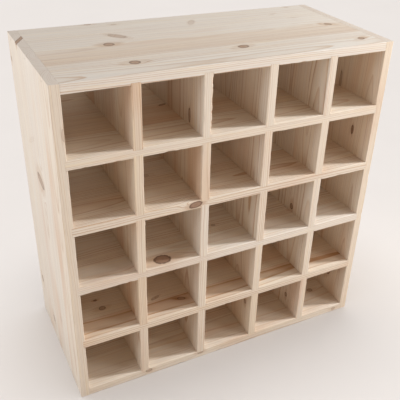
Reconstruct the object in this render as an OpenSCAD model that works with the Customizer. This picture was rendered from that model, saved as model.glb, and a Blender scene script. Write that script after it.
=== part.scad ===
// Wine rack: an open-backed grid of square cells in solid pine, one bottle to a cell.
// Two full-height sides hold the top, the bottom and the shelves. Short dividers stand
// in housings between them, so every board is a piece of its own.
// Origin at the centre of the base, +Z up, +X to the right, the front faces -Y.

/* [Overall size] */
// Outside width, left to right
rack_w = 540; // [400:5:700]
// Outside height
rack_h = 540; // [400:5:700]
// Depth, front to back, which is also the width of every board
rack_d = 250; // [200:5:320]

/* [Grid] */
// Number of cells across
columns = 5; // [2:1:6]
// Number of cells up
rows = 5; // [2:1:6]

/* [Boards] */
// Thickness of every board
board_t = 14; // [12:1:20]
// Depth of the housings that take the ends of the shelves and dividers
housing_depth = 3; // [1:0.5:4]
// Play between a housing's cheeks and the board in it, both sides together
housing_play = 0.2; // [0:0.1:0.6]
// Width of the bevel that eases the long edges of each board
arris = 0.6; // [0.2:0.1:1.5]

/* [Nails] */
// Nails in each joint between a side and the top or the bottom
nails_per_joint = 3; // [2:1:4]
// Distance from the front edge to the first nail of a joint
nail_front_inset = 37; // [15:1:60]
// Distance from the rear edge to the last nail of a joint
nail_rear_inset = 21; // [15:1:60]
// Length of a nail under its head
nail_length = 38; // [25:1:45]
// Diameter of a nail's shank
nail_d = 1.8; // [1.2:0.1:2.5]
// Diameter of a nail's head
nail_head_d = 3.2; // [3:0.1:5]
// Depth of the head's seat below the face of the side
nail_sink = 1.4; // [1:0.1:3]

/* [Hidden] */
$fn = 32;
nail_head_t = 1;
nail_point_l = 3;
nail_tip_d = 0.4;

inner_w = rack_w - 2 * board_t;
inner_h = rack_h - 2 * board_t;
cell_w = (inner_w - (columns - 1) * board_t) / columns;
cell_h = (inner_h - (rows - 1) * board_t) / rows;
column_pitch = cell_w + board_t;
row_pitch = cell_h + board_t;
shelf_l = inner_w + 2 * housing_depth;
divider_l = cell_h + 2 * housing_depth;
nail_pitch = (rack_d - nail_front_inset - nail_rear_inset) / (nails_per_joint - 1);
shank_l = nail_length - nail_point_l;

// Rows and columns count from the top left cell of the front.

function shelf_name(s) = str("shelf_", s);
function divider_name(r, c) = str("divider_row", r, "_col", c);

// Height of the middle of shelf s; shelf 0 is the top panel and shelf "rows" the bottom panel.
function shelf_z(s) = rack_h - board_t / 2 - s * row_pitch;
// Place across of the middle of divider c; divider 0 is the left side.
function divider_x(c) = -rack_w / 2 + board_t / 2 + c * column_pitch;
function nail_y(n) = -rack_d / 2 + nail_front_inset + n * nail_pitch;

// A board of the given length along X, centred on the origin, with its long edges eased.
module board(length) {
    half_t = board_t / 2;
    half_d = rack_d / 2;
    rotate([90, 0, 90])
        translate([0, 0, -length / 2])
            linear_extrude(length)
                polygon([
                    [-half_d + arris, -half_t], [half_d - arris, -half_t],
                    [half_d, -half_t + arris], [half_d, half_t - arris],
                    [half_d - arris, half_t], [-half_d + arris, half_t],
                    [-half_d, half_t - arris], [-half_d, -half_t + arris]
                ]);
}

// The space that a housing takes out of a board's upper face, across its whole width.
module housing() {
    width = board_t + housing_play;
    translate([-width / 2, -rack_d / 2 - 1, board_t / 2 - housing_depth])
        cube([width, rack_d + 2, housing_depth + 1]);
}

// The row of housings that takes one end of every divider of a row.
module divider_housings() {
    for (c = [1:columns - 1])
        translate([divider_x(c), 0, 0])
            housing();
}

// A lost-head nail that points along +X, with the mouth of its seat at the origin.
module nail() {
    rotate([0, 90, 0]) {
        translate([0, 0, nail_sink - nail_head_t])
            cylinder(d = nail_head_d, h = nail_head_t);
        translate([0, 0, nail_sink])
            cylinder(d = nail_d, h = shank_l);
        translate([0, 0, nail_sink + shank_l])
            cylinder(d1 = nail_d, d2 = nail_tip_d, h = nail_point_l);
    }
}

// The hole that a nail fills: the head's seat, the shank's bore and the point.
module nail_hole() {
    nail();
    rotate([0, 90, 0])
        translate([0, 0, -1])
            cylinder(d = nail_head_d, h = nail_sink + 1);
}

// One child at every nail of the side that stands at the left.
module at_left_nails() {
    for (s = [0, rows], n = [0:nails_per_joint - 1])
        translate([-rack_w / 2, nail_y(n), shelf_z(s)])
            children();
}

module at_all_nails() {
    at_left_nails() children();
    mirror([1, 0, 0]) at_left_nails() children();
}

// The left side: grain upright, one housing for each shelf.
module left_side_board() {
    difference() {
        translate([-rack_w / 2 + board_t / 2, 0, rack_h / 2])
            rotate([0, 90, 0])
                difference() {
                    board(rack_h);
                    for (s = [1:rows - 1])
                        translate([rack_h / 2 - shelf_z(s), 0, 0])
                            housing();
                }
        at_left_nails() nail_hole();
    }
}

module side_left() {
    color("wheat") left_side_board();
}

module side_right() {
    color("wheat") mirror([1, 0, 0]) left_side_board();
}

module top_panel() {
    color("bisque")
        difference() {
            translate([0, 0, shelf_z(0)])
                difference() {
                    board(inner_w);
                    mirror([0, 0, 1]) divider_housings();
                }
            at_all_nails() nail_hole();
        }
}

module bottom_panel() {
    color("bisque")
        difference() {
            translate([0, 0, shelf_z(rows)])
                difference() {
                    board(inner_w);
                    divider_housings();
                }
            at_all_nails() nail_hole();
        }
}

// A shelf runs the whole way across and has housings in both faces.
module shelf(s) {
    color("navajowhite")
        translate([0, 0, shelf_z(s)])
            difference() {
                board(shelf_l);
                divider_housings();
                mirror([0, 0, 1]) divider_housings();
            }
}

// A divider: a short board with its grain upright, one cell high plus its two housings.
module divider(r, c) {
    color("burlywood")
        translate([divider_x(c), 0, (shelf_z(r - 1) + shelf_z(r)) / 2])
            rotate([0, 90, 0])
                board(divider_l);
}

module nails_left() {
    color("silver") at_left_nails() nail();
}

module nails_right() {
    color("silver") mirror([1, 0, 0]) at_left_nails() nail();
}

side_left();
side_right();
top_panel();
bottom_panel();
for (s = [1:rows - 1])
    shelf(s);
for (r = [1:rows], c = [1:columns - 1])
    divider(r, c);
nails_left();
nails_right();
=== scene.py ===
"""Wine rack in solid pine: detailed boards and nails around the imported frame, with floor, light and camera.

Every board is rebuilt as a grid of quads at its CAD place: housings, nail bores, eased and slightly worn
edges, and the small bow of real timber. Each corner of that grid carries the board's own grain coordinates,
so one solid pine material runs through faces, edges and end grain, and its knots go right through a board.
"""
import math
from collections import namedtuple

import bpy
import numpy as np
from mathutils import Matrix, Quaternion, Vector, noise


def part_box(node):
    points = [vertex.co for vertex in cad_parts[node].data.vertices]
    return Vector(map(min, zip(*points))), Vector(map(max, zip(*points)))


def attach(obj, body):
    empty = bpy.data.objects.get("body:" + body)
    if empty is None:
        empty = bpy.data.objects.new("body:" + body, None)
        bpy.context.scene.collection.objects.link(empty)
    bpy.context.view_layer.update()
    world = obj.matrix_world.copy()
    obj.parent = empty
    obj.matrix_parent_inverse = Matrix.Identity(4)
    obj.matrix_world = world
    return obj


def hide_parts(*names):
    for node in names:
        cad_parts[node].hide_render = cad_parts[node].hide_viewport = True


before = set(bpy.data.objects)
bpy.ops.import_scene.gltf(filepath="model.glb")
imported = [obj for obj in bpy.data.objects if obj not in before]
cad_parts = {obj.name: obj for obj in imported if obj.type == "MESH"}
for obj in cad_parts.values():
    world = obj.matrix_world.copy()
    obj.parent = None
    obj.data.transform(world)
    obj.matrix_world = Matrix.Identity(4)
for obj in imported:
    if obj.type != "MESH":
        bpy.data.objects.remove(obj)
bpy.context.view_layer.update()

MM = 0.001
TINY = 1e-6
NEVER_ZERO = 1e-9

# --- Boards as the frame gives them ---

SIDES = ["side_left", "side_right"]
PANELS = ["top_panel", "bottom_panel"]
SHELVES = sorted(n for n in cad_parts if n.startswith("shelf_"))
DIVIDERS = sorted(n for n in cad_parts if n.startswith("divider_"))

# World axes along the grain, across it (front to rear) and through the board.
UPRIGHT = (2, 1, 0)
LEVEL = (0, 1, 2)

# Widest steps of a board's grid, in mm: along the grain, along it on boards with a torn edge, across it, and
# through the board.
STEP_ALONG = 3.0
RAGGED_STEP = 1.5
STEP_ACROSS = 7.0
STEP_THROUGH = 4.0
# Distances from an edge, in mm, at which the grid has a line, so that the edge can be rounded.
EDGE_LINES = (0.0, 0.2, 0.5, 1.0, 2.0)
CLOSEST_LINES = 0.04
# How deep the line lies that stands in for a housing's floor in a board without housings.
NO_HOUSING_LINE = 3.0

# Joints between boards, in mm: play at each cheek of a housing, gap at the ends of the top and bottom, and
# the least overlap of two boards that counts as a housing.
HOUSING_PLAY = 0.1
END_GAP = 0.06
LEAST_HOUSING = 0.5

# Nails, in mm: lost-head wire nails through the sides into the ends of the top and bottom.
NAIL_FROM_FRONT = (37.0, 133.0, 229.0)
NAIL_LENGTH = 38.0
NAIL_POINT = 3.0
NAIL_HEAD_R = 1.6
NAIL_HEAD_T = 1.0
NAIL_SEAT = 1.4
NAIL_SHANK_R = 0.9
NAIL_TIP_R = 0.2
BORE_PLAY = 0.05
BORE_BEVEL = 0.12
BORE_TIP_PLAY = 0.1
# Half the side of the square of faces that a bore's mouth replaces, and how exactly its lines are found.
BORE_BLOCK = 2.5
BLOCK_SLACK = 1e-4

# Staves, in mm from front to rear: widths of the first and of the others, and the least left for the last.
FIRST_STAVE = (40, 105)
STAVE_WIDTH = (55, 110)
LAST_STAVE = 35
# How much stronger the rings show inside the rack than on its sides, top and bottom.
INNER_CONTRAST = 1.3

# Wear, in mm. The long edges: mean radius, its swings and their scales per mm along the edge, and its limits.
EDGE_RADIUS = 0.62
SLOW_SWING = 0.3
SLOW_SCALE = 0.021
QUICK_SWING = 0.16
QUICK_SCALE = 0.17
EDGE_RADII = (0.25, 1.1)
END_RADIUS = 0.22
# Chips in them, two to a board and one more for so much of half its length: that length, how clear of the
# ends they stay, size, reach on both faces, and slant.
CHIP_SPACING = 40
CHIPS_FROM_END = 6
CHIP_LENGTH = (3.0, 11.0)
CHIP_DEPTH = (0.25, 0.8)
CHIP_ACROSS = 1.6
CHIP_THROUGH = 2.4
CHIP_SLANT = 0.6
# Torn edges: how they fade in and out, how far in from the edge they go, the slant, and the roughness as two
# noises' scales per mm with its bias and its most.
TEAR_FADE = 3.0
TEAR_WIDTH = 2.2
TEAR_SLANT = 0.5
TEAR_SCALES = (0.37, 0.16)
TEAR_BIAS = 0.25
TEAR_MOST = 1.2
# How far dividers bow, and how far boards may stand back from the rack's front.
MOST_BOW = 0.25
DIVIDER_SET_BACK = 0.25
SHELF_SET_BACK = 0.2
# Edges sharper than this, in degrees, aren't shaded smooth.
BOARD_SHARP = 42
NAIL_SHARP = 40

# A knot: place along the grain and across the rack in world mm, radii along and across, turn of its long axis
# in degrees, darkness from 0 to 1, and how far it leans along and across per mm through the board. An edge
# knot looks out of the board's front edge instead, and its second place is measured through the board.
Knot = namedtuple(
    "Knot",
    "along across r_along r_across turn dark lean lean_across edge",
    defaults=(0, 0.7, 0.1, 0.0, False),
)
EDGE_KNOT_DEPTH = 14.0
# How much farther along the grain than across it a knot pulls the grain about: the most, how round a knot has
# to be for it, and the least. A knot that is itself long gets less.
KNOT_STRETCH = 2.2
ROUND_KNOT = 1.3
LEAST_STRETCH = 1.05
# How many radii from its middle a knot still counts, and the distances that stand for no knot and no joint.
KNOT_REACH = 3.4
FAR_FROM_KNOT = 99.0
FAR_FROM_GLUE = 50.0
# Faces whose normal leans this far along the grain show end grain.
END_GRAIN_TILT = 0.7

KNOTS = {
    "top_panel": [
        Knot(-149.5, 8.9, 8.4, 7.6, 0, 0.62),
        Knot(-142.8, -79.9, 8.2, 7.4, 0, 0.66),
        Knot(31.7, -67.4, 9.5, 6.6, 10, 0.6),
        Knot(229.2, -5.6, 6.8, 6.0, -30, 0.55),
        Knot(229.2, -94.0, 6.2, 5.6, 20, 0.6),
        Knot(-125.0, 45.0, 17.0, 7.4, -47, 0.4),
        Knot(15.0, 80.0, 15.0, 5.6, 58, 0.26),
        Knot(-109.0, 107.5, 5.0, 3.4, 0, 0.3),
        Knot(-147.8, 121.0, 6.0, 4.0, 0, 0.4),
        Knot(172.8, 82.0, 5.5, 3.6, 30, 0.2),
        Knot(196.4, 51.8, 6.0, 4.0, 0, 0.15),
        Knot(225.0, 118.0, 5.0, 3.4, 0, 0.3),
    ],
    "side_left": [
        Knot(346.0, -1.0, 9.0, 21.0, -10, 0.52),
        Knot(500.5, 117.6, 4.6, 4.0, 0, 0.5),
        Knot(83.7, 105.8, 7.0, 6.0, 30, 0.5),
        Knot(41.5, 36.6, 7.0, 6.0, 30, 0.45),
        Knot(400.0, 33.0, 24.0, 4.0, -62, 0.12),
        Knot(296.3, -12.4, 6.0, 3.6, 30, 0.2),
        Knot(92.1, -27.6, 6.0, 4.4, 0, 0.2),
        Knot(541.0, 73.0, 4.0, 6.6, 0, 0.75, 0.0, 1.8),
        Knot(471.8, 7.0, 10.0, 4.0, 0, 0.3, edge=True),
    ],
    "side_right": [
        Knot(373.0, -78.5, 9.0, 3.2, 0, 0.9),
        Knot(443.0, -28.0, 22.0, 3.4, 0, 0.5),
        Knot(168.0, 42.0, 9.0, 7.5, 15, 0.8),
        Knot(492.0, 66.0, 7.0, 6.0, 0, 0.6),
        Knot(255.0, -20.0, 6.0, 5.0, 0, 0.35),
        Knot(60.0, -74.0, 8.0, 6.4, -20, 0.7),
    ],
    "shelf_1": [Knot(-68.0, 8.0, 7.0, 3.0, 20, 0.6), Knot(140.0, 60.0, 8.0, 6.0, 0, 0.6)],
    "shelf_2": [
        Knot(-68.5, 0.4, 11.0, 5.6, 8, 0.85, edge=True),
        Knot(-110.0, -20.4, 6.0, 5.0, 0, 0.3),
        Knot(212.0, 40.0, 7.0, 6.0, 0, 0.6),
    ],
    "shelf_3": [
        Knot(-117.6, -108.9, 14.5, 11.5, 0, 0.85, 0.0),
        Knot(0.1, -52.9, 4.0, 3.4, 0, 0.5),
        Knot(156.0, -62.8, 4.6, 3.6, 0, 0.6),
    ],
    "shelf_4": [
        Knot(-208.1, -61.8, 6.0, 5.0, 0, 0.6),
        Knot(-213.0, -38.0, 3.0, 2.4, 0, 0.9),
        Knot(-77.9, -93.8, 7.0, 3.6, -20, 0.7),
        Knot(-118.0, -74.0, 9.0, 3.0, 20, 0.45),
        Knot(60.0, 70.0, 9.0, 7.0, 0, 0.7),
    ],
    "bottom_panel": [
        Knot(222.5, -66.0, 6.0, 5.0, 0, 0.55),
        Knot(-151.0, 2.0, 6.0, 3.6, 0, 0.5, edge=True),
        Knot(-53.3, 4.0, 6.0, 3.8, 0, 0.5, edge=True),
        Knot(240.0, -1.0, 5.0, 3.4, 0, 0.4, edge=True),
        Knot(-20.0, 30.0, 9.0, 8.0, 0, 0.8),
    ],
    "divider_row1_col2": [Knot(450.0, -78.5, 12.0, 3.6, 0, 0.65, 0.0)],
    "divider_row3_col4": [Knot(236.0, -69.8, 6.0, 4.6, 0, 0.8)],
    "divider_row5_col3": [Knot(77.6, -104.5, 4.5, 3.6, 0, 0.7)],
    "divider_row5_col4": [Knot(42.9, -84.4, 5.0, 3.8, 0, 0.7)],
}

# Glue joints between staves, across the rack in world mm from the middle, for boards where they show.
STAVE_JOINTS = {
    "top_panel": [-31.0, 62.0],
    "side_left": [-70.0, 34.0],
}

# Heartwood, by board and stave: its edge across the rack in world mm, and the side of that edge it lies on.
HEARTWOOD_AT = {
    ("top_panel", 1): (9.0, -1),
}
HEARTWOOD_CHANCE = 0.12
# Distance into the heartwood, in mm, of a stave that has none.
NO_HEARTWOOD = -60.0

# Staves that don't follow the random draw, by board and number from the front, in Board.random_stave's terms:
# where the pith lay across and through from the board's middle and the ring width, in mm, how strongly the
# rings show, lightness, warmth, and the heartwood's side, which is 0 for none.
STAVES = {
    ("top_panel", 0): dict(pith_across=-112.0, pith_through=-34.0, ring=3.3, contrast=1.35),
    ("top_panel", 1): dict(pith_across=-2.0, pith_through=-52.0, contrast=0.6),
    ("top_panel", 2): dict(contrast=0.5),
    ("side_left", 0): dict(pith_across=-104.0, pith_through=44.0, contrast=0.6, light=0.5, warm=-0.6),
    ("side_left", 1): dict(contrast=0.5),
    ("side_left", 2): dict(light=1.1, warm=-1.2, contrast=0.5, heart_side=0),
    ("shelf_3", 0): dict(light=1.6, warm=-1.2, contrast=0.8, heart_side=0),
}

# Boards whose tone the rack shows plainly: (lightness, warmth). The others draw both from -0.8 to 0.8.
TONES = {
    "side_left": (1.1, -1.0),
    "side_right": (-0.1, -0.5),
    "top_panel": (2.0, -1.6),
    "shelf_1": (0.5, -0.5),
    "bottom_panel": (0.9, -0.6),
    "shelf_2": (1.2, -0.9),
    "shelf_3": (1.2, -1.2),
    "shelf_4": (0.1, 0.0),
    "divider_row1_col2": (0.8, -0.8),
    "divider_row1_col3": (0.7, -0.6),
    "divider_row1_col4": (0.8, -0.7),
    "divider_row2_col3": (0.6, -0.5),
    "divider_row2_col4": (0.6, -0.5),
    "divider_row3_col2": (0.9, -0.9),
    "divider_row3_col4": (0.8, -0.9),
    "divider_row4_col2": (0.5, -0.4),
}

# Torn front edges: (side through the board, from, to, depth), along the grain in world mm.
RAGGED_EDGES = {
    "divider_row1_col2": [(1, 436.0, 524.0, 2.2)],
    "divider_row3_col1": [(1, 296.0, 314.0, -0.8)],
    "divider_row2_col1": [(1, 345.0, 365.0, 0.4)],
    "shelf_1": [(-1, -118.0, -88.0, 1.0), (-1, 60.0, 78.0, 0.6)],
    "shelf_3": [(-1, -190.0, -170.0, 0.7)],
}


def show(thing):
    """Puts an object in the scene."""
    bpy.context.scene.collection.objects.link(thing)


def box_mm(node):
    """Lowest and highest corner of a CAD node in millimetres."""
    low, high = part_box(node)
    return np.array(low) / MM, np.array(high) / MM


def smoothstep(x):
    x = np.clip(x, 0.0, 1.0)
    return x * x * (3.0 - 2.0 * x)


def sorted_lines(low, high, step, fixed):
    """Grid lines from low to high: the fixed ones, fine ones at both ends, and even ones in the gaps."""
    keep = {round(float(v), 4) for v in fixed}
    keep |= {round(low + e, 4) for e in EDGE_LINES} | {round(high - e, 4) for e in EDGE_LINES}
    keep = sorted(v for v in keep if low - TINY <= v <= high + TINY)
    lines = [keep[0]]
    for v in keep[1:]:
        gap = v - lines[-1]
        if gap < CLOSEST_LINES:
            continue
        parts = max(1, round(gap / step))
        lines += [lines[-1] + gap * k / parts for k in range(1, parts)] + [v]
    return np.array(lines)


class Board:
    """One board: its place, its axes, what is cut into it and how its timber grew."""

    def __init__(self, node, axes, seed):
        low, high = box_mm(node)
        self.node = node
        self.axes = axes
        self.centre = (low + high) / 2
        self.half = ((high - low) / 2)[list(axes)]
        self.rng = np.random.default_rng(seed)
        self.step_along = RAGGED_STEP if node in RAGGED_EDGES else STEP_ALONG
        self.housings = []
        self.bores = []
        along, across = self.centre[axes[0]], self.centre[1]
        self.knots = [
            k._replace(along=k.along - along, across=k.across - (0 if k.edge else across))
            for k in KNOTS.get(node, [])
        ]
        self.joints = STAVE_JOINTS.get(node) or self.random_joints()
        self.tone = TONES.get(node) or tuple(self.rng.uniform(-0.8, 0.8, 2))
        self.staves = [self.random_stave(n) for n in range(len(self.joints) + 1)]

    def random_joints(self):
        """Places of the glue joints, from front to rear, with what is left over at the rear."""
        joints, at = [], -self.half[1] + self.rng.uniform(*FIRST_STAVE)
        while at < self.half[1] - LAST_STAVE:
            joints.append(at)
            at += self.rng.uniform(*STAVE_WIDTH)
        return joints

    def random_stave(self, number):
        """Where the tree's pith lay from this stave, its ring width, its tone and its heartwood."""
        r = self.rng
        side = r.choice((-1.0, 1.0))
        rims = [-self.half[1], *self.joints, self.half[1]]
        middle = (rims[number] + rims[number + 1]) / 2
        heart_at, heart_side = r.uniform(rims[number], rims[number + 1]), r.choice((-1, 1))
        has_heart = r.random() < HEARTWOOD_CHANCE
        if (self.node, number) in HEARTWOOD_AT:
            at, heart_side = HEARTWOOD_AT[self.node, number]
            heart_at, has_heart = at - self.centre[1], True
        grown = {
            "heart_at": heart_at,
            "heart_side": heart_side if has_heart else 0,
            "pith_across": middle + r.uniform(-24, 24),
            "pith_through": side * r.uniform(22, 62),
            "taper": r.uniform(-0.03, 0.03),
            "ring": r.uniform(1.7, 3.3),
            "seed": r.uniform(0, 900),
            "light": self.tone[0] + r.uniform(-0.35, 0.35),
            "warm": self.tone[1] + r.uniform(-0.3, 0.3),
            "contrast": r.uniform(0.6, 1.1) * (1.0 if self.node in SIDES + PANELS else INNER_CONTRAST),
        }
        grown.update(STAVES.get((self.node, number), {}))
        return grown

    def world(self, points):
        """Local points (along, across, through) in mm to world metres."""
        out = np.empty_like(points)
        for local_axis, world_axis in enumerate(self.axes):
            out[:, world_axis] = points[:, local_axis] + self.centre[world_axis]
        return out * MM


def add_housings(host, guests):
    """Marks in the host every housing that a guest's end stands in."""
    along, _, through = host.axes
    for guest in guests:
        offset = guest.centre[through] - host.centre[through]
        depth = host.half[2] + guest.half[0] - abs(offset)
        place = guest.centre[along] - host.centre[along]
        if depth > LEAST_HOUSING and abs(place) < host.half[0]:
            half_width = guest.half[2] + HOUSING_PLAY
            host.housings.append((place - half_width, place + half_width, math.copysign(1, offset), depth))


def add_nail_bores(side, panel):
    """Marks the bores of the nails that go through a side into the end of a panel."""
    outward = math.copysign(1, side.centre[0])
    side_t = 2 * side.half[2]
    seat = NAIL_HEAD_R + BORE_PLAY
    shank = NAIL_SHANK_R + BORE_PLAY
    in_panel = NAIL_SEAT + NAIL_LENGTH - side_t
    height = panel.centre[2] - side.centre[2]
    for inset in NAIL_FROM_FRONT:
        across = inset - side.half[1]
        side.bores.append({
            "axis": 2, "sign": outward, "at": (height, across, 0.0), "tip": None,
            "profile": [
                (0.0, seat + BORE_BEVEL), (BORE_BEVEL, seat), (NAIL_SEAT, seat), (NAIL_SEAT, shank),
                (side_t, shank),
            ],
        })
        panel.bores.append({
            "axis": 0, "sign": outward, "at": (0.0, across, 0.0), "tip": in_panel + BORE_TIP_PLAY,
            "profile": [(0.0, shank), (in_panel - NAIL_POINT, shank)],
        })


class Mesh:
    """Vertices in local mm and faces of a board while it is being built.

    The vertices lie on a grid of rows along the grain, columns across and plies through the board.
    """

    def __init__(self, board):
        h = board.half.copy()
        if board.node in PANELS:
            h[0] -= END_GAP
        self.h = h
        block = (-BORE_BLOCK, BORE_BLOCK)
        cuts = [v for low, high, _, _ in board.housings for v in (low, high)]
        cuts += [b["at"][0] + edge for b in board.bores if b["axis"] == 2 for edge in block]
        nails = [b["at"][1] + edge for b in board.bores for edge in block]
        floor = h[2] - max([d for _, _, _, d in board.housings], default=NO_HOUSING_LINE)
        self.lines = (
            sorted_lines(-h[0], h[0], board.step_along, cuts),
            sorted_lines(-h[1], h[1], STEP_ACROSS, board.joints + nails),
            sorted_lines(-h[2], h[2], STEP_THROUGH, [-floor, floor, *block]),
        )
        self.points = np.stack(np.meshgrid(*self.lines, indexing="ij"), -1).reshape(-1, 3)
        self.faces = self.grid_faces(self.solid_cells(board.housings))
        self.new = []
        for bore in board.bores:
            self.cut_bore(bore)
        self.keep_used()

    def solid_cells(self, housings):
        """Which cells of the grid's side view are timber, with a ring of empty cells around them."""
        middle_along, _, middle_through = ((v[1:] + v[:-1]) / 2 for v in self.lines)
        solid = np.zeros((len(middle_along) + 2, len(middle_through) + 2), bool)
        solid[1:-1, 1:-1] = True
        for low, high, side, depth in housings:
            inside = (middle_along > low) & (middle_along < high)
            cut = side * middle_through > self.h[2] - depth
            solid[1:-1, 1:-1] &= ~np.outer(inside, cut)
        return solid

    def grid_faces(self, solid):
        """Quads wherever timber meets air: front and rear, then the plies' faces, then the rows' faces."""
        rows, cols, plies = (len(v) for v in self.lines)
        last = cols - 1

        def at(i, k, j):
            return (i * cols + k) * plies + j

        quads = []
        for i, j in np.argwhere(solid[1:-1, 1:-1]):
            quads.append((at(i, 0, j), at(i + 1, 0, j), at(i + 1, 0, j + 1), at(i, 0, j + 1)))
            quads.append((at(i, last, j), at(i, last, j + 1), at(i + 1, last, j + 1), at(i + 1, last, j)))
        for i in range(rows - 1):
            for j in range(plies):
                below, above = solid[i + 1, j], solid[i + 1, j + 1]
                for k in range(last if below != above else 0):
                    quad = (at(i, k, j), at(i + 1, k, j), at(i + 1, k + 1, j), at(i, k + 1, j))
                    quads.append(quad if below else quad[::-1])
        for i in range(rows):
            for j in range(plies - 1):
                before, after = solid[i, j + 1], solid[i + 1, j + 1]
                for k in range(last if before != after else 0):
                    quad = (at(i, k, j), at(i, k + 1, j), at(i, k + 1, j + 1), at(i, k, j + 1))
                    quads.append(quad if before else quad[::-1])
        return quads

    def keep_used(self):
        """Adds the bores' vertices to the grid's and drops those that no face uses."""
        points = np.vstack([self.points, *self.new])
        used = np.unique(np.concatenate(self.faces))
        renumber = np.full(len(points), -1)
        renumber[used] = np.arange(len(used))
        self.points = points[used]
        self.faces = [tuple(int(renumber[v]) for v in f) for f in self.faces]

    def block_ring(self, axis, sign, at):
        """Removes the faces of a square block and returns its rim, counterclockwise from outside."""
        u, v = [a for a in range(3) if a != axis]
        pts = self.points
        near = (
            (np.abs(pts[:, axis] - sign * self.h[axis]) < TINY)
            & (np.abs(pts[:, u] - at[u]) < BORE_BLOCK + BLOCK_SLACK)
            & (np.abs(pts[:, v] - at[v]) < BORE_BLOCK + BLOCK_SLACK)
        )
        block = set(np.flatnonzero(near))
        self.faces = [f for f in self.faces if not all(p in block for p in f)]
        rim = [
            p for p in block
            if max(abs(pts[p, u] - at[u]), abs(pts[p, v] - at[v])) > BORE_BLOCK - BLOCK_SLACK
        ]
        # (u, v) in axis order has the normal +axis for axes 0 and 2, the only ones that bores follow.
        return sorted(rim, key=lambda p: sign * math.atan2(pts[p, v] - at[v], pts[p, u] - at[u]))

    def cut_bore(self, bore):
        """Turns a square block of faces into a ring of quads and a bore of the given profile.

        A bore with a tip ends blind in a point, and one without goes right through the board.
        """
        axis, sign, at, tip = bore["axis"], bore["sign"], bore["at"], bore["tip"]
        u, v = [a for a in range(3) if a != axis]
        rim = self.block_ring(axis, sign, at)
        angles = [math.atan2(self.points[p, v] - at[v], self.points[p, u] - at[u]) for p in rim]
        ring = rim
        for depth, radius in bore["profile"]:
            fresh = []
            for angle in angles:
                p = [0.0, 0.0, 0.0]
                p[u], p[v] = at[u] + radius * math.cos(angle), at[v] + radius * math.sin(angle)
                p[axis] = sign * (self.h[axis] - depth)
                fresh.append(self.add_point(p))
            self.join(ring, fresh)
            ring = fresh
        if tip is None:
            far = self.block_ring(axis, -sign, at)[::-1]
            offsets = self.points[far][:, [u, v]] - self.points[rim[0]][[u, v]]
            start = int(np.argmin((offsets ** 2).sum(1)))
            self.join(ring, far[start:] + far[:start])
        else:
            p = [0.0, 0.0, 0.0]
            p[u], p[v], p[axis] = at[u], at[v], sign * (self.h[axis] - tip)
            centre = self.add_point(p)
            for n in range(len(ring)):
                self.faces.append((ring[n], ring[(n + 1) % len(ring)], centre))

    def add_point(self, point):
        self.new.append(point)
        return len(self.points) + len(self.new) - 1

    def join(self, outer, inner):
        """A band of quads between two rings of the same number of vertices."""
        count = len(outer)
        for n in range(count):
            m = (n + 1) % count
            self.faces.append((outer[n], outer[m], inner[m], inner[n]))


def knot_place(knot, points):
    """Local points as places in a knot's own section, in which its rim has radius 1."""
    if knot.edge:
        along = points[:, 0] - knot.along
        across = points[:, 2] - knot.across
    else:
        along = points[:, 0] - knot.along - knot.lean * points[:, 2]
        across = points[:, 1] - knot.across - knot.lean_across * points[:, 2]
    cos, sin = math.cos(math.radians(knot.turn)), math.sin(math.radians(knot.turn))
    return (along * cos + across * sin) / knot.r_along, (across * cos - along * sin) / knot.r_across


def corner_counts(faces):
    """How many corners each face has, and the number of its first corner."""
    counts = np.array([len(f) for f in faces])
    return counts, np.cumsum(counts) - counts


def corner_attributes(board, mesh):
    """Per-corner vectors for the pine material, named as pine() reads them.

    Every face takes one stave and at most one knot, so each value is linear in place over a face and the
    material finds it exactly.
    """
    counts, starts = corner_counts(mesh.faces)
    corners = np.concatenate(mesh.faces)
    face_of = np.repeat(np.arange(len(counts)), counts)
    centres = np.add.reduceat(mesh.points[corners], starts) / counts[:, None]
    at = mesh.points[corners]
    stave_of = np.searchsorted(np.array(board.joints), centres[:, 1])[face_of]

    def grown(key):
        """What the staves say under a key, for every corner."""
        return np.array([s[key] for s in board.staves])[stave_of]

    pith_through = grown("pith_through") + grown("taper") * at[:, 0]
    pith = np.stack([grown("pith_across"), pith_through, grown("ring")], 1)
    heart_side = grown("heart_side")
    into_heart = np.where(heart_side == 0, NO_HEARTWOOD, heart_side * (at[:, 1] - grown("heart_at")))
    tone = np.stack([grown("light"), grown("warm"), into_heart], 1)

    glue = np.full(len(corners), FAR_FROM_GLUE)
    for joint in board.joints:
        glue = np.minimum(glue, np.abs(at[:, 1] - joint))

    knot = np.tile([FAR_FROM_KNOT, FAR_FROM_KNOT, 1.0], (len(corners), 1))
    dark = np.zeros(len(corners))
    shrink = np.full(len(corners), KNOT_STRETCH ** -2)
    nearest = np.full(len(counts), KNOT_REACH)
    for k in board.knots:
        a, b = knot_place(k, centres)
        stretch = min(max(ROUND_KNOT * KNOT_STRETCH * k.r_across / k.r_along, LEAST_STRETCH), KNOT_STRETCH)
        reach = np.sqrt((a / stretch) ** 2 + b ** 2)
        mine = reach < nearest
        if k.edge:
            mine &= centres[:, 1] < EDGE_KNOT_DEPTH - board.half[1]
        nearest = np.where(mine, reach, nearest)
        a, b = knot_place(k, at)
        chosen = mine[face_of]
        knot[chosen] = np.stack([a, b, np.full(len(a), k.r_across)], 1)[chosen]
        dark[chosen] = k.dark
        shrink[chosen] = stretch ** -2

    first, second, third = (at[starts + n] for n in range(3))
    normals = np.cross(second - first, third - first)
    normals /= np.maximum(np.linalg.norm(normals, axis=1), NEVER_ZERO)[:, None]
    end = (np.abs(normals[:, 0]) > END_GRAIN_TILT).astype(float)[face_of]
    mask = np.stack([end, dark, glue], 1)
    stave = np.stack([grown("seed"), grown("contrast"), shrink], 1)
    return {"grain": at, "pith": pith, "stave": stave, "knot": knot, "tone": tone, "mask": mask}


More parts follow.
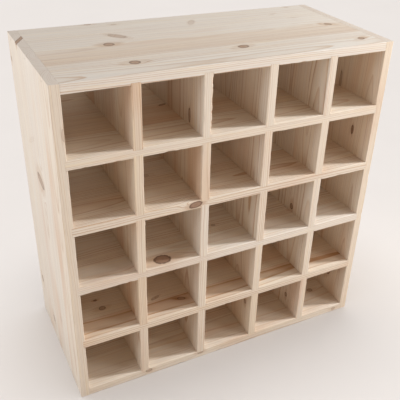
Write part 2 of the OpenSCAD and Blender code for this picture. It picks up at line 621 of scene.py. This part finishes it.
def wander(points, scale, seed):
    """Smooth noise from -1 to 1 at each point."""
    offset = Vector((seed, seed * 0.37, -seed * 0.61))
    return np.array([noise.noise(Vector(q) + offset) for q in points * scale])


def wear(board, mesh):
    """Rounds, chips and tears the edges and gives the board its bow."""
    p, h = mesh.points, mesh.h
    round_long_edges(p, h, board.rng.uniform(0, 500))
    round_ends(p, h)
    chip_edges(p, h, board.rng)
    tear_edges(board, p, h)
    if board.node in DIVIDERS:
        bow = board.rng.uniform(-MOST_BOW, MOST_BOW)
        p[:, 2] += bow * (1 - (p[:, 1] / h[1]) ** 2) * (1 - (p[:, 0] / h[0]) ** 2)
        p[:, 1] += board.rng.uniform(0.0, DIVIDER_SET_BACK)
    elif board.node in SHELVES:
        p[:, 1] += board.rng.uniform(0.0, SHELF_SET_BACK)


def round_long_edges(p, h, seed):
    """Rounds the four edges along the grain by a radius that varies along each of them."""
    # Points of one edge share their noise, and the four edges lie well apart in it.
    along = np.stack([p[:, 0], np.sign(p[:, 1]) * 40, np.sign(p[:, 2]) * 25], 1)
    radius = EDGE_RADIUS + SLOW_SWING * wander(along, SLOW_SCALE, seed)
    radius += QUICK_SWING * wander(along, QUICK_SCALE, seed + 40)
    radius = np.clip(radius, *EDGE_RADII)
    inner = h[None, 1:] - radius[:, None]
    uv = (np.abs(p[:, 1:]) - inner) / radius[:, None]
    corner = (uv > TINY).all(1)
    reach = uv.max(1)
    length = np.linalg.norm(uv, axis=1)
    scale = np.where(corner, reach / np.maximum(length, NEVER_ZERO), 1.0)
    rounded = inner + uv * scale[:, None] * radius[:, None]
    p[:, 1:] = np.where(corner[:, None], np.sign(p[:, 1:]) * rounded, p[:, 1:])


def round_ends(p, h):
    """Breaks the edges across the grain, as a touch of sandpaper does."""
    for other in (1, 2):
        deep = np.abs(p[:, 0]) - (h[0] - END_RADIUS)
        high = np.abs(p[:, other]) - (h[other] - END_RADIUS)
        both = (deep > TINY) & (high > TINY)
        size = np.maximum(deep, high)
        length = np.hypot(deep, high)
        factor = np.where(both, size / np.maximum(length, NEVER_ZERO), 1.0)
        for axis, depth in ((0, deep), (other, high)):
            rounded = np.sign(p[:, axis]) * (h[axis] - END_RADIUS + depth * factor)
            p[:, axis] = np.where(both, rounded, p[:, axis])


def chip_edges(p, h, r):
    """Small splinters torn from the long edges: short dents that fade out along the grain."""
    for _ in range(int(2 + h[0] / CHIP_SPACING)):
        place = r.uniform(-h[0] + CHIPS_FROM_END, h[0] - CHIPS_FROM_END)
        side_across = r.choice((-1.0, -1.0, 1.0))
        side_through = r.choice((-1.0, 1.0))
        length = r.uniform(*CHIP_LENGTH)
        depth = r.uniform(*CHIP_DEPTH)
        fade = 1 - smoothstep(np.abs(p[:, 0] - place) / length)
        near_across = smoothstep(1 - np.abs(h[1] * side_across - p[:, 1]) / CHIP_ACROSS)
        near_through = smoothstep(1 - np.abs(h[2] * side_through - p[:, 2]) / CHIP_THROUGH)
        push = depth * fade * near_across * near_through
        p[:, 1] -= side_across * push * CHIP_SLANT
        p[:, 2] -= side_through * push


def tear_edges(board, p, h):
    """Rough front edges where the cutter tore the grain; a negative depth leaves fibres standing proud."""
    for side, low, high, depth in RAGGED_EDGES.get(board.node, []):
        place = p[:, 0] + board.centre[board.axes[0]]
        span = smoothstep((place - low) / TEAR_FADE) * smoothstep((high - place) / TEAR_FADE)
        along = np.stack([p[:, 0], np.zeros(len(p)), np.zeros(len(p))], 1)
        fine, coarse = TEAR_SCALES
        rough = wander(along, fine, 7.0 + low) + wander(along, coarse, low) + TEAR_BIAS
        rough = np.clip(rough, 0.0, TEAR_MOST)
        near_front = smoothstep(1 - (p[:, 1] + h[1]) / TEAR_WIDTH)
        near_side = smoothstep(1 - np.abs(h[2] * side - p[:, 2]) / TEAR_WIDTH)
        push = depth * span * rough * near_front * near_side
        p[:, 2] -= side * push
        p[:, 1] += TEAR_SLANT * np.maximum(push, 0.0)


def turned_over(faces, values):
    """The faces with their corners in reverse order, and the corner values in the same new order."""
    order = np.concatenate([start + np.arange(count)[::-1] for count, start in zip(*corner_counts(faces))])
    return [f[::-1] for f in faces], {name: value[order] for name, value in values.items()}


def add_piece(name, data, material, sharp_angle, node):
    """Puts a finished mesh in the scene in place of its CAD node."""
    data.shade_smooth()
    data.set_sharp_from_angle(angle=math.radians(sharp_angle))
    data.materials.append(material)
    data.validate()
    piece = bpy.data.objects.new(name, data)
    show(piece)
    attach(piece, "root")
    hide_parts(node)


def make_board(board, material):
    """The finished piece that stands for the board's CAD node."""
    mesh = Mesh(board)
    values = corner_attributes(board, mesh)
    wear(board, mesh)
    faces = mesh.faces
    if board.axes == UPRIGHT:
        # Upright boards swap two axes, which turns every face over.
        faces, values = turned_over(faces, values)
    data = bpy.data.meshes.new(board.node)
    data.from_pydata(board.world(mesh.points).tolist(), [], faces)
    for name, vectors in values.items():
        layer = data.attributes.new(name, "FLOAT_VECTOR", "CORNER")
        layer.data.foreach_set("vector", vectors.astype(np.float32).ravel())
    add_piece("board_" + board.node, data, material, BOARD_SHARP, board.node)


# --- Materials ---


class Graph:
    """Short ways to add nodes to a material and join them up."""

    def __init__(self, name):
        self.material = bpy.data.materials.new(name)
        self.material.use_nodes = True
        self.tree = self.material.node_tree
        self.tree.nodes.clear()

    def node(self, kind, **settings):
        made = self.tree.nodes.new(kind)
        for key, value in settings.items():
            setattr(made, key, value)
        return made

    def set(self, socket, value):
        if isinstance(value, bpy.types.NodeSocket):
            self.tree.links.new(value, socket)
        else:
            socket.default_value = value

    def math(self, operation, a, b=0.0, c=0.0):
        made = self.node("ShaderNodeMath", operation=operation)
        for socket, value in zip(made.inputs, (a, b, c)):
            self.set(socket, value)
        return made.outputs[0]

    def scale_add(self, a, scale, shift):
        return self.math("MULTIPLY_ADD", a, scale, shift)

    def add(self, total, *others):
        for other in others:
            total = self.math("ADD", total, other)
        return total

    def sub(self, a, b):
        return self.math("SUBTRACT", a, b)

    def mul(self, product, *others):
        for other in others:
            product = self.math("MULTIPLY", product, other)
        return product

    def attribute(self, name):
        made = self.node("ShaderNodeAttribute", attribute_name=name)
        split = self.node("ShaderNodeSeparateXYZ")
        self.set(split.inputs[0], made.outputs["Vector"])
        return split.outputs

    def join(self, x, y, z):
        made = self.node("ShaderNodeCombineXYZ")
        for socket, value in zip(made.inputs, (x, y, z)):
            self.set(socket, value)
        return made.outputs[0]

    def noise(self, vector, scale, detail, roughness=0.5):
        """Noise from 0 to 1, mean 0.5."""
        made = self.node("ShaderNodeTexNoise")
        self.set(made.inputs["Vector"], vector)
        self.set(made.inputs["Scale"], scale)
        self.set(made.inputs["Detail"], detail)
        self.set(made.inputs["Roughness"], roughness)
        return made.outputs["Fac"]

    def swing(self, value, amount):
        """A noise value turned into a swing of plus or minus the amount."""
        return self.scale_add(value, 2 * amount, -amount)

    def ramp(self, value, low, high, to_low=0.0, to_high=1.0, kind="SMOOTHSTEP"):
        made = self.node("ShaderNodeMapRange", interpolation_type=kind)
        for socket, number in zip(made.inputs[:5], (value, low, high, to_low, to_high)):
            self.set(socket, number)
        return made.outputs[0]

    def curve(self, value, stops):
        """A value run through straight lines between stops of (place, level)."""
        made = self.node("ShaderNodeValToRGB")
        self.set(made.inputs[0], value)
        points = made.color_ramp.elements
        while len(points) < len(stops):
            points.new(0.5)
        for point, (place, level) in zip(points, stops):
            point.position = place
            point.color = (level, level, level, 1.0)
        return made.outputs[0]

    def mix(self, factor, a, b, blend="MIX"):
        made = self.node("ShaderNodeMix", data_type="RGBA", blend_type=blend)
        self.set(made.inputs[0], factor)
        self.set(made.inputs[6], a)
        self.set(made.inputs[7], b)
        return made.outputs[2]

    def bump(self, height, distance, strength=1.0):
        made = self.node("ShaderNodeBump")
        self.set(made.inputs["Strength"], strength)
        self.set(made.inputs["Distance"], distance)
        self.set(made.inputs["Height"], height)
        return made.outputs[0]

    def principled(self, base, roughness, normal=None, **constants):
        made = self.node("ShaderNodeBsdfPrincipled")
        self.set(made.inputs["Base Color"], base)
        self.set(made.inputs["Roughness"], roughness)
        if normal is not None:
            self.set(made.inputs["Normal"], normal)
        for key, value in constants.items():
            made.inputs[key.replace("_", " ")].default_value = value
        out = self.node("ShaderNodeOutputMaterial")
        self.set(out.inputs["Surface"], made.outputs[0])
        return self.material


def rgb(red, green, blue):
    """An sRGB colour from 0 to 255 as linear RGBA."""

    def linear(value):
        return value / 12.92 if value <= 0.04045 else ((value + 0.055) / 1.055) ** 2.4

    return (*(linear(v / 255) for v in (red, green, blue)), 1.0)


# The rings' pale and dark parts, and the tints that lie over them.
EARLYWOOD = rgb(232, 212, 187)
LATEWOOD = rgb(190, 145, 102)
HEARTWOOD = rgb(232, 204, 174)
BLUSH = rgb(240, 214, 194)
SAPWOOD = rgb(234, 225, 214)
YELLOW = rgb(226, 204, 167)
KNOT_CORE = rgb(176, 142, 118)
KNOT_DARK = rgb(130, 90, 64)
KNOT_RIM = rgb(98, 68, 50)
KNOT_HALO = rgb(214, 180, 142)
END_GRAIN = rgb(226, 215, 204)
RESIN = rgb(150, 100, 58)
# How dark the wood grows through one year's ring, from its start to its end.
LATEWOOD_STOPS = [(0.0, 0.0), (0.35, 0.04), (0.68, 0.22), (0.86, 0.85), (0.94, 1.0), (1.0, 0.0)]


class Pine(Graph):
    """Solid pine, bare and sanded. Every length in it is in mm along the board's own axes."""

    def __init__(self):
        super().__init__("pine")
        self.along, self.across, self.through = self.attribute("grain")
        self.seed, self.contrast, self.shrink = self.attribute("stave")
        self.end, self.dark, self.glue = self.attribute("mask")
        self.find_knot()
        self.find_rings()
        self.find_fibres()

    def grain_noise(self, scales, shift, detail, roughness=0.5):
        """Noise by its scales per mm along, across and through the board, different for every stave."""
        along, across, through = scales
        place = self.join(
            self.scale_add(self.along, along, self.add(self.seed, shift)),
            self.scale_add(self.across, across, self.mul(self.seed, 1.7)),
            self.scale_add(self.through, through, shift),
        )
        return self.noise(place, 1.0, detail, roughness)

    def find_knot(self):
        """Where a point lies in its knot, and how the knot pushes the grain aside and swells the rings."""
        a, b, radius = self.attribute("knot")
        a2, b2 = self.mul(a, a), self.mul(b, b)
        ragged = self.swing(self.grain_noise((0.3, 0.3, 0.1), 5.0, 2.0), 0.16)
        self.knot_d = self.add(self.math("SQRT", self.add(a2, b2)), ragged)
        self.reach = self.math("SQRT", self.scale_add(a2, self.shrink, b2))
        window = self.ramp(self.reach, 1.0, 3.2, 1.0, 0.0)
        aside = self.math("DIVIDE", b, self.math("MAXIMUM", self.scale_add(a2, 0.3, b2), 1.0))
        self.pull = self.mul(aside, radius, window, self.ramp(self.dark, 0.0, 0.5, 0.35, 1.0))
        self.swell = self.mul(self.ramp(self.reach, 0.4, 2.4, 1.0, 0.0), radius, self.dark, 0.5)
        self.inside = self.mul(self.ramp(self.knot_d, 1.08, 0.9), self.ramp(self.dark, 0.0, 0.8, 0.0, 0.9))
        self.knot_rings = self.math("SINE", self.mul(self.knot_d, self.scale_add(radius, 0.8, 6.0)))

    def find_rings(self):
        """Latewood in rings around the stave's pith, bent by slow wander and by the knots."""
        pith_across, pith_through, width = self.attribute("pith")
        wave_across = self.swing(self.grain_noise((0.0042, 0.012, 0.012), 0.0, 1.0), 5.5)
        wave_through = self.swing(self.grain_noise((0.0036, 0.012, 0.012), 31.0, 1.0), 4.0)
        ripple = self.swing(self.grain_noise((0.022, 0.08, 0.08), 57.0, 2.0), 0.4)
        x = self.sub(self.add(self.sub(self.across, pith_across), wave_across), self.pull)
        y = self.add(self.sub(self.through, pith_through), wave_through)
        radius = self.math("SQRT", self.add(self.mul(x, x), self.mul(y, y)))
        rings = self.math("DIVIDE", self.add(radius, ripple, self.swell), width)
        uneven = self.noise(self.join(self.mul(rings, 0.35), self.seed, 3.0), 1.0, 1.0)
        rings = self.add(rings, self.swing(uneven, 0.9))
        year = self.noise(self.join(self.math("FLOOR", rings), self.seed, 11.0), 0.9, 0.0)
        late = self.curve(self.math("FRACT", rings), LATEWOOD_STOPS)
        self.late = self.mul(late, self.contrast, self.ramp(year, 0.3, 0.7, 0.3, 1.0))

    def find_fibres(self):
        """Fine fibre, streaks, a broad drift of colour, and resin canals as short dark lines."""
        self.fibre = self.grain_noise((0.03, 1.0, 1.0), 71.0, 4.0, 0.66)
        self.streak = self.grain_noise((0.007, 0.26, 0.26), 83.0, 3.0, 0.6)
        self.drift = self.grain_noise((0.004, 0.02, 0.02), 97.0, 2.0)
        canals = self.grain_noise((0.045, 1.5, 1.5), 109.0, 1.0)
        self.canals = self.mul(self.ramp(canals, 0.66, 0.76), self.ramp(self.late, 0.1, 0.7, 0.35, 1.0))

    def sound_wood(self):
        """The rings' own colour, then the tints of the stave, the heartwood, the streaks and the fibre."""
        light, warm, into_heart = self.attribute("tone")
        wood = self.mix(self.ramp(light, -1.0, 2.0, 0.0, 0.9, "LINEAR"), EARLYWOOD, SAPWOOD)
        wood = self.mix(self.mul(self.late, 0.72), wood, LATEWOOD)
        blush = self.ramp(self.add(self.drift, self.mul(warm, 0.12)), 0.42, 0.72, 0.0, 0.6)
        wood = self.mix(blush, wood, BLUSH, "MULTIPLY")
        heart = self.ramp(self.add(into_heart, self.swing(self.drift, 18.0)), -4.0, 18.0, 0.0, 0.3)
        wood = self.mix(heart, wood, HEARTWOOD, "MULTIPLY")
        wood = self.mix(self.ramp(self.streak, 0.5, 0.75, 0.0, 0.4), wood, YELLOW)
        tone = self.add(1.0, self.swing(self.fibre, 0.12), self.swing(self.streak, 0.10))
        wood = self.mix(1.0, wood, self.join(tone, tone, tone), "MULTIPLY")
        return self.mix(self.mul(self.canals, 0.4), wood, RESIN)

    def with_knot(self, wood):
        """The wood with a faint warm halo along the grain, a dark rim and a browner middle with rings."""
        halo = self.ramp(self.add(self.reach, self.swing(self.streak, 0.5)), 0.9, 1.6, 0.5, 0.0)
        wood = self.mix(self.mul(halo, self.dark), wood, KNOT_HALO, "MULTIPLY")
        core = self.mix(self.ramp(self.dark, 0.7, 1.0), KNOT_CORE, KNOT_DARK)
        core = self.mix(self.ramp(self.knot_rings, -1.0, 1.0, 0.0, 0.22), core, KNOT_RIM)
        rim = self.mul(self.ramp(self.knot_d, 0.6, 0.88), self.ramp(self.dark, 0.1, 0.8, 0.3, 0.9))
        return self.mix(self.inside, wood, self.mix(rim, core, KNOT_RIM))

    def as_cut(self, wood):
        """The wood with greyer end grain, whose rings stay dark, and a hair line at each glue joint."""
        wood = self.mix(self.mul(self.end, 0.7, self.sub(1.0, self.inside)), wood, END_GRAIN)
        wood = self.mix(self.mul(self.end, self.late, 0.55), wood, LATEWOOD, "MULTIPLY")
        return self.mix(self.ramp(self.glue, 0.12, 0.38, 0.42, 0.0), wood, LATEWOOD, "MULTIPLY")

    def surface(self):
        """Roughness and normal: latewood is smoother and stands proud, and glue joints are grooves."""
        smooth = self.ramp(self.late, 0.0, 1.0, 0.66, 0.54, "LINEAR")
        roughness = self.add(smooth, self.swing(self.fibre, 0.12), self.mul(self.inside, -0.12))
        joint = self.mul(self.ramp(self.glue, 0.0, 0.4), 0.5)
        knot = self.mul(self.math("ABSOLUTE", self.knot_rings), self.inside, 0.3)
        height = self.add(self.mul(self.late, 0.35), self.mul(self.fibre, 0.8), joint, knot)
        return roughness, self.bump(height, 0.00009, 0.9)


def pine():
    g = Pine()
    colour = g.as_cut(g.with_knot(g.sound_wood()))
    roughness, normal = g.surface()
    return g.principled(colour, roughness, normal, Specular_IOR_Level=0.35)


def nail_steel():
    """Dull drawn wire: fine lines along it and a little tarnish."""
    g = Graph("nail_steel")
    coordinates = g.node("ShaderNodeTexCoord").outputs["Object"]
    tarnish = g.noise(coordinates, 900.0, 4.0, 0.6)
    drawn = g.node("ShaderNodeMapping")
    drawn.inputs["Scale"].default_value = (60.0, 3200.0, 3200.0)
    g.set(drawn.inputs[0], coordinates)
    lines = g.noise(drawn.outputs[0], 1.0, 3.0)
    colour = g.mix(g.ramp(tarnish, 0.35, 0.7), rgb(150, 150, 150), rgb(92, 88, 84))
    roughness = g.add(g.ramp(tarnish, 0.3, 0.7, 0.34, 0.58), g.swing(lines, 0.1))
    return g.principled(colour, roughness, g.bump(lines, 0.00004, 0.5), Metallic=1.0)


def floor_paint():
    """Pale matt floor with the faintest mottle."""
    g = Graph("floor_paint")
    coordinates = g.node("ShaderNodeTexCoord").outputs["Object"]
    mottle = g.noise(coordinates, 3.0, 4.0, 0.6)
    colour = g.mix(mottle, rgb(197, 192, 188), rgb(202, 197, 193))
    return g.principled(colour, 0.8, g.bump(g.noise(coordinates, 400.0, 2.0), 0.0003, 0.15))


# --- Build ---

FAMILIES = {
    "sides": (SIDES, UPRIGHT),
    "panels": (PANELS, LEVEL),
    "shelves": (SHELVES, LEVEL),
    "dividers": (DIVIDERS, UPRIGHT),
}
FAMILY_SEED = 1000


def lathe(profile, centre, outward, segments=24):
    """Vertices and faces of a turned shape along X: profile is (distance inwards, radius) in mm."""
    points, faces = [], []
    for depth, radius in profile:
        for n in range(segments):
            angle = 2 * math.pi * n / segments
            across, up = radius * math.cos(angle), radius * math.sin(angle)
            points.append((centre[0] - outward * depth, centre[1] + across, centre[2] + up))
    last = (len(profile) - 1) * segments
    for ring in range(0, last, segments):
        for n in range(segments):
            m = (n + 1) % segments
            faces.append((ring + n, ring + m, ring + segments + m, ring + segments + n))
    faces.append(tuple(range(segments))[::-1])
    faces.append(tuple(range(last, last + segments)))
    return points, faces if outward < 0 else [f[::-1] for f in faces]


def nail_profile():
    """A lost-head nail from its dished head to its point, as (depth below the side's face, radius)."""
    top = NAIL_SEAT - NAIL_HEAD_T
    return [
        (top + 0.10, 0.35),
        (top + 0.05, 0.9),
        (top, 1.30),
        (top + 0.10, 1.52),
        (top + 0.3, NAIL_HEAD_R),
        (NAIL_SEAT - 0.3, NAIL_HEAD_R),
        (NAIL_SEAT - 0.05, 1.2),
        (NAIL_SEAT, NAIL_SHANK_R),
        (NAIL_SEAT + NAIL_LENGTH - NAIL_POINT, NAIL_SHANK_R),
        (NAIL_SEAT + NAIL_LENGTH, NAIL_TIP_R),
    ]


def make_nails(node, side, panels, material):
    """The nails through one side, as the piece that stands for their CAD node."""
    outward = math.copysign(1, side.centre[0])
    face = side.centre[0] + outward * side.half[2]
    points, faces = [], []
    for panel in panels:
        for inset in NAIL_FROM_FRONT:
            centre = (face, side.centre[1] - side.half[1] + inset, panel.centre[2])
            more, shape = lathe(nail_profile(), centre, outward)
            faces += [tuple(v + len(points) for v in f) for f in shape]
            points += more
    data = bpy.data.meshes.new(node)
    data.from_pydata([tuple(c * MM for c in p) for p in points], [], faces)
    add_piece("wire_" + node, data, material, NAIL_SHARP, node)


boards = {}
for number, (names, axes) in enumerate(FAMILIES.values(), start=1):
    for place, name in enumerate(names):
        boards[name] = Board(name, axes, seed=FAMILY_SEED * number + place)

for name in SIDES:
    add_housings(boards[name], [boards[n] for n in SHELVES])
for name in PANELS + SHELVES:
    add_housings(boards[name], [boards[n] for n in DIVIDERS])
for side_name in SIDES:
    for panel_name in PANELS:
        add_nail_bores(boards[side_name], boards[panel_name])

pine_material = pine()
for family, (names, _) in FAMILIES.items():
    for name in names:
        make_board(boards[name], pine_material)

steel = nail_steel()
for side_name, node in zip(SIDES, ("nails_left", "nails_right")):
    make_nails(node, boards[side_name], [boards[n] for n in PANELS], steel)

# --- Floor, light and camera ---

FLOOR_HALF = 15.0

# The light from all round, and the paler wall that the camera sees past the floor's edge.
SKY_COLOUR = (1.0, 0.79, 0.63, 1.0)
SKY_STRENGTH = 0.22
WALL_COLOUR = (0.73, 0.71, 0.69, 1.0)

# Soft square lamps turned to the rack: name, place in m, side in m, watts and colour.
LAMPS = [
    ("right", (1.4, -0.46, 1.5), 0.18, 26.0, (0.98, 1.06, 1.12)),
    ("left", (-1.6, -0.16, 1.0), 0.9, 13.2, (0.96, 1.06, 1.17)),
    ("front", (1.3, -1.2, 0.75), 0.7, 12.6, (1.0, 0.99, 0.98)),
    ("rear", (0.4, 2.0, 0.9), 1.2, 4.4, (1.0, 0.88, 0.76)),
]
RACK_MIDDLE = Vector((0.0, 0.0, 0.27))

# The sun that lights the floor: height in m, watts per square metre, spread in degrees and colour.
SUN_HEIGHT = 4.0
SUN_POWER = 4.0
SUN_SPREAD = 50
SUN_COLOUR = (0.99, 1.02, 1.05)

# The camera: what it looks at and from how far, in m, its angles in degrees, and its lens.
CAMERA_TARGET = Vector((-0.0251, -0.1183, 0.3224))
CAMERA_DISTANCE = 0.95
CAMERA_AZIMUTH = -28.6
CAMERA_ELEVATION = 30.6
CAMERA_ROLL = 2.56
LENS_MM = 54.95
SENSOR_MM = 36.0
LENS_SHIFT = (-0.048, -0.007)
CLIP = (0.01, 60.0)


def make_floor():
    data = bpy.data.meshes.new("floor")
    corners = [(x * FLOOR_HALF, y * FLOOR_HALF, 0.0) for x, y in ((-1, -1), (1, -1), (1, 1), (-1, 1))]
    data.from_pydata(corners, [], [(0, 1, 2, 3)])
    data.materials.append(floor_paint())
    floor = bpy.data.objects.new("floor", data)
    show(floor)
    return floor


def make_world():
    """The studio's light from all round, with a plain wall where the camera looks past the floor."""
    world = bpy.data.worlds.new("studio")
    world.use_nodes = True
    nodes, link = world.node_tree.nodes, world.node_tree.links.new
    sky = nodes["Background"]
    sky.inputs["Color"].default_value = SKY_COLOUR
    sky.inputs["Strength"].default_value = SKY_STRENGTH
    wall = nodes.new("ShaderNodeBackground")
    wall.inputs["Color"].default_value = WALL_COLOUR
    ray = nodes.new("ShaderNodeLightPath")
    choice = nodes.new("ShaderNodeMixShader")
    link(ray.outputs["Is Camera Ray"], choice.inputs[0])
    link(sky.outputs[0], choice.inputs[1])
    link(wall.outputs[0], choice.inputs[2])
    link(choice.outputs[0], nodes["World Output"].inputs["Surface"])
    bpy.context.scene.world = world


def receivers(name, floor, state):
    """A collection for light linking that takes in the floor alone, or excludes it alone."""
    made = bpy.data.collections.new(name)
    made.objects.link(floor)
    made.collection_objects[0].light_linking.link_state = state
    return made


def add_lamp(name, place, size, watts, colour, lit):
    """A soft square light at a place, turned to the rack, that the camera doesn't see."""
    data = bpy.data.lights.new(name, "AREA")
    data.shape = "SQUARE"
    data.size = size
    data.energy = watts
    data.color = colour
    lamp = bpy.data.objects.new(name, data)
    lamp.location = place
    lamp.rotation_mode = "QUATERNION"
    lamp.rotation_quaternion = (RACK_MIDDLE - Vector(place)).to_track_quat("-Z", "Y")
    lamp.visible_camera = False
    lamp.light_linking.receiver_collection = lit
    show(lamp)


def add_floor_sun(lit):
    """A wide soft sun from straight above."""
    data = bpy.data.lights.new("floor_sun", "SUN")
    data.energy = SUN_POWER
    data.angle = math.radians(SUN_SPREAD)
    data.color = SUN_COLOUR
    sun = bpy.data.objects.new("floor_sun", data)
    sun.location = (0.0, 0.0, SUN_HEIGHT)
    sun.light_linking.receiver_collection = lit
    show(sun)


def make_camera():
    data = bpy.data.cameras.new("camera")
    data.sensor_width = SENSOR_MM
    data.lens = LENS_MM
    data.shift_x, data.shift_y = LENS_SHIFT
    data.clip_start, data.clip_end = CLIP
    azimuth, elevation = math.radians(CAMERA_AZIMUTH), math.radians(CAMERA_ELEVATION)
    back = Vector((
        math.sin(azimuth) * math.cos(elevation),
        -math.cos(azimuth) * math.cos(elevation),
        math.sin(elevation),
    ))
    roll = Quaternion((0, 0, 1), math.radians(CAMERA_ROLL))
    camera = bpy.data.objects.new("camera", data)
    camera.location = CAMERA_TARGET + back * CAMERA_DISTANCE
    camera.rotation_mode = "QUATERNION"
    camera.rotation_quaternion = (-back).to_track_quat("-Z", "Y") @ roll
    show(camera)
    return camera


floor = make_floor()
make_world()
# The lamps light the rack alone and the sun lights the floor alone, so that the floor is evenly pale.
all_but_floor = receivers("all_but_floor", floor, "EXCLUDE")
only_floor = receivers("only_floor", floor, "INCLUDE")
for name, place, size, watts, colour in LAMPS:
    add_lamp(name, place, size, watts, colour, all_but_floor)
add_floor_sun(only_floor)
bpy.context.scene.view_settings.view_transform = "Standard"
bpy.context.scene.camera = make_camera()
